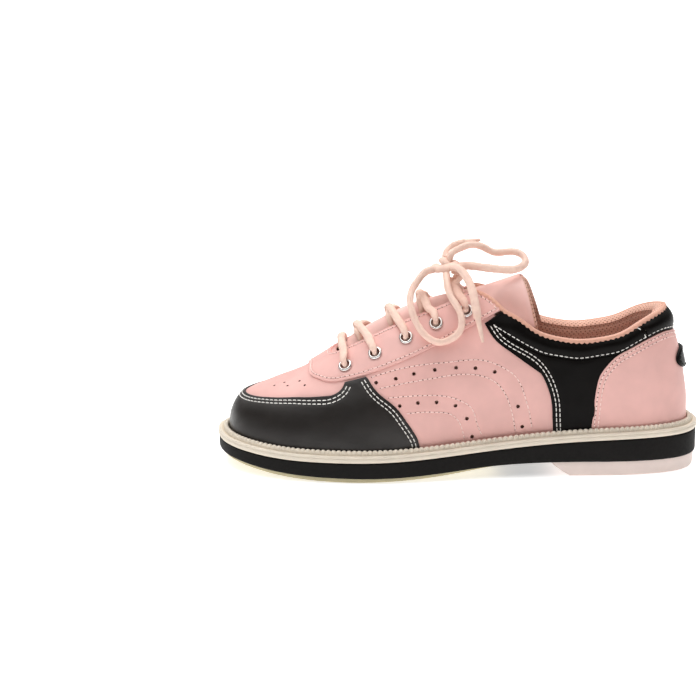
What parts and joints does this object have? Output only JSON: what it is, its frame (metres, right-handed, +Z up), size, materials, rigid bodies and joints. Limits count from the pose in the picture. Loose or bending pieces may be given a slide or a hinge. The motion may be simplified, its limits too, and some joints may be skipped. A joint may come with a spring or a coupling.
{
  "type": "bowling shoe",
  "caption": "Low-cut laced bowling shoe for the left foot with panelled leather upper, padded collar, tongue, slide sole and heel.",
  "frame": {"origin": "centre of the shoe's bounding box seen from above, on the ground under the sole", "axes": "+X from the toe to the heel, +Z up, -Y to the outer (lateral) side of this left shoe"},
  "size_m": [0.27, 0.0918, 0.1262],
  "materials": {
    "pink_leather": "smooth grained, semi-matt, rose pink",
    "black_leather": "smooth grained, semi-gloss, black",
    "lining_mesh": "dotted mesh fabric, matt, peach",
    "binding_leather": "soft thin leather, matt, peach pink",
    "lace_cotton": "braided cotton, matt, pale peach",
    "lace_film": "shrunk film, satin",
    "eyelet_metal": "rolled, bright",
    "welt_plastic": "moulded, satin, cream",
    "midsole_rubber": "smooth, matt, black",
    "slide_pad_felt": "buffed, matt, pale yellow",
    "heel_rubber": "smooth, matt, pinkish white",
    "foam": "open-cell foam, matt, cream yellow",
    "board": "pressed fibre board, matt, tan",
    "sock_fabric": "woven, matt, dusty pink",
    "cork": "granulated cork mix, matt",
    "shank_steel": "rolled spring steel",
    "badge": "padded oval patch, semi-gloss, black"
  },
  "bodies": {
    "shoe": {"midsole": "midsole_rubber", "slide_pad": "slide_pad_felt", "heel": "heel_rubber", "welt": "welt_plastic", "insole_board": "board", "sock_liner": "sock_fabric", "sole_filler": "cork", "shank": "shank_steel", "vamp": "pink_leather", "toe_cap": "black_leather", "toe_puff": "board", "side_panel_lateral": "pink_leather", "side_panel_medial": "pink_leather", "quarter_lateral": "black_leather", "quarter_medial": "black_leather", "eyestay_lateral": "pink_leather", "eyestay_medial": "pink_leather", "facing_backing_lateral": "lining_mesh", "facing_backing_medial": "lining_mesh", "collar_lateral": "black_leather", "collar_medial": "black_leather", "collar_back": "black_leather", "heel_cover": "pink_leather", "heel_counter": "board", "heel_badge": "badge", "collar_foam": "foam", "vamp_lining": "lining_mesh", "collar_lining": "lining_mesh", "topline_binding": "binding_leather", "lace": "lace_cotton", "lace_knot": "lace_cotton", "lace_loop_rear": "lace_cotton", "lace_loop_side": "lace_cotton", "lace_end_lateral": "lace_cotton", "lace_end_medial": "lace_cotton", "aglet_lateral": "lace_film", "aglet_medial": "lace_film", "eyelet_lateral_1": "eyelet_metal", "eyelet_lateral_2": "eyelet_metal", "eyelet_lateral_3": "eyelet_metal", "eyelet_lateral_4": "eyelet_metal", "eyelet_lateral_5": "eyelet_metal", "eyelet_medial_1": "eyelet_metal", "eyelet_medial_2": "eyelet_metal", "eyelet_medial_3": "eyelet_metal", "eyelet_medial_4": "eyelet_metal", "eyelet_medial_5": "eyelet_metal"},
    "tongue": {"tongue_face": "pink_leather", "tongue_foam": "foam", "tongue_lining": "lining_mesh"}
  },
  "joints": [
    {"name": "tongue_fold", "type": "hinge", "parent": "shoe", "child": "tongue", "pos_m": [-0.06351, 0.00332, 0.05936], "axis": [0, 1, 0], "range_deg": [0, 8], "stiffness_Nm_per_rad": 0.08, "springref_deg": -14.32}
  ]
}
